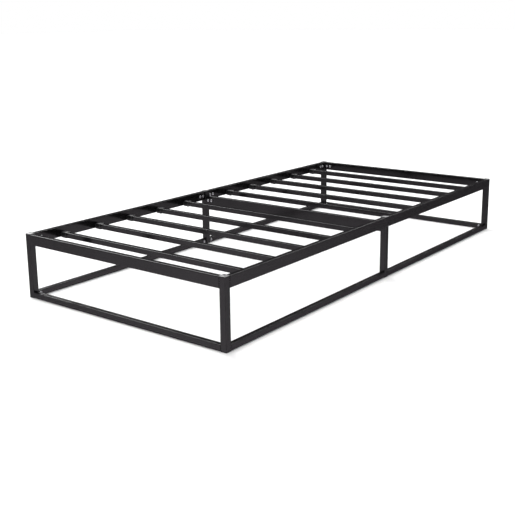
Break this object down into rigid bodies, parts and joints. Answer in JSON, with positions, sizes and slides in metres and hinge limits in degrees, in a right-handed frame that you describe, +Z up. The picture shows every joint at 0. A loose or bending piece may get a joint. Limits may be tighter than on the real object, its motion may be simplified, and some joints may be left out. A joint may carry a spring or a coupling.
{
  "type": "metal bed frame",
  "caption": "Low steel platform bed frame: square legs, deep top rails, floor rails all round, a middle crossbar and tubular cross slats.",
  "frame": {"origin": "on the floor, under the middle of the bed", "axes": "+X across the bed to its right side seen from the foot end, +Y from the foot (near) end to the head (far) end, +Z up"},
  "size_m": [0.965, 2.01, 0.25],
  "materials": {
    "frame_paint": "satin black powder coat",
    "foot_plastic": "matt moulded black",
    "cap_plastic": "glossy moulded dark grey",
    "bolt_steel": "bright zinc plated",
    "screw_steel": "black oxide"
  },
  "bodies": {
    "root": {"leg_near_left": "frame_paint", "leg_near_right": "frame_paint", "leg_mid_left": "frame_paint", "leg_mid_right": "frame_paint", "leg_far_left": "frame_paint", "leg_far_right": "frame_paint", "foot_near_left": "foot_plastic", "foot_near_right": "foot_plastic", "foot_mid_left": "foot_plastic", "foot_mid_right": "foot_plastic", "foot_far_left": "foot_plastic", "foot_far_right": "foot_plastic", "leg_cap_near_left": "cap_plastic", "leg_cap_near_right": "cap_plastic", "leg_cap_mid_left": "cap_plastic", "leg_cap_mid_right": "cap_plastic", "leg_cap_far_left": "cap_plastic", "leg_cap_far_right": "cap_plastic", "joint_plates_near_left": "frame_paint", "joint_plates_near_right": "frame_paint", "joint_plates_mid_left": "frame_paint", "joint_plates_mid_right": "frame_paint", "joint_plates_far_left": "frame_paint", "joint_plates_far_right": "frame_paint", "side_rail_near_left": "frame_paint", "side_rail_near_right": "frame_paint", "side_rail_far_left": "frame_paint", "side_rail_far_right": "frame_paint", "floor_side_rail_near_left": "frame_paint", "floor_side_rail_near_right": "frame_paint", "floor_side_rail_far_left": "frame_paint", "floor_side_rail_far_right": "frame_paint", "end_rail_near": "frame_paint", "end_rail_far": "frame_paint", "floor_end_rail_near": "frame_paint", "floor_end_rail_far": "frame_paint", "slat_01": "frame_paint", "slat_02": "frame_paint", "slat_03": "frame_paint", "slat_04": "frame_paint", "slat_05": "frame_paint", "slat_06": "frame_paint", "slat_07": "frame_paint", "slat_08": "frame_paint", "slat_09": "frame_paint", "slat_10": "frame_paint", "slat_hangers_left": "frame_paint", "slat_hangers_right": "frame_paint", "slat_end_caps_left": "foot_plastic", "slat_end_caps_right": "foot_plastic", "crossbar": "frame_paint", "slat_screws": "screw_steel", "side_rail_bolts": "bolt_steel", "end_rail_bolts": "bolt_steel", "crossbar_bolts": "bolt_steel", "floor_rail_bolts": "bolt_steel", "joint_nuts": "bolt_steel"}
  },
  "joints": []
}
